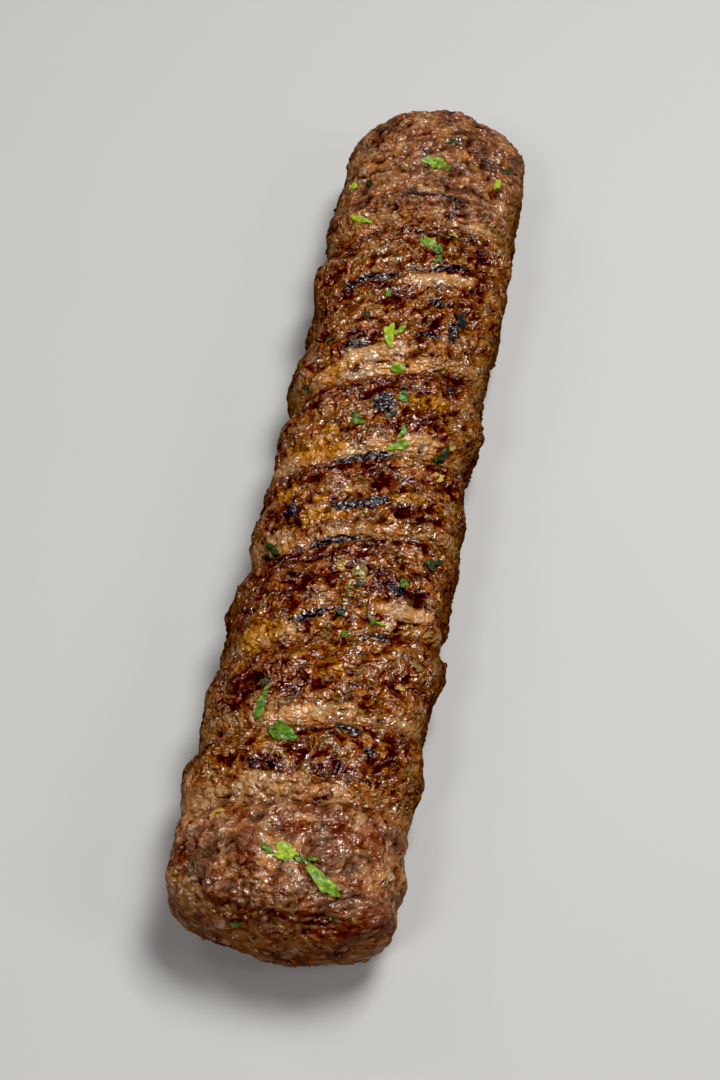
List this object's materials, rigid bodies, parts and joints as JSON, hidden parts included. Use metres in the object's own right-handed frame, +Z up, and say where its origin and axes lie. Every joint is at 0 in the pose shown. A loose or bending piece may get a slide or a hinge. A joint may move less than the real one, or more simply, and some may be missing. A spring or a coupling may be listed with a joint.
{
  "type": "kofta",
  "caption": "Grilled log of minced meat with slanting finger grooves, charred crests and parsley flecks, lying on its flat underside.",
  "frame": {"origin": "on the plane of the flat face that the log rests on, under the middle of its bounding box", "axes": "+Y along the log from its near end to its far end, +Z up, +X across to the right seen from the near end"},
  "size_m": [0.0422, 0.1964, 0.0279],
  "materials": {
    "grilled_mince": "browned and charred minced meat, wet with fat, with bright green parsley flecks"
  },
  "bodies": {
    "root": {"kofta": "grilled_mince"}
  },
  "joints": []
}
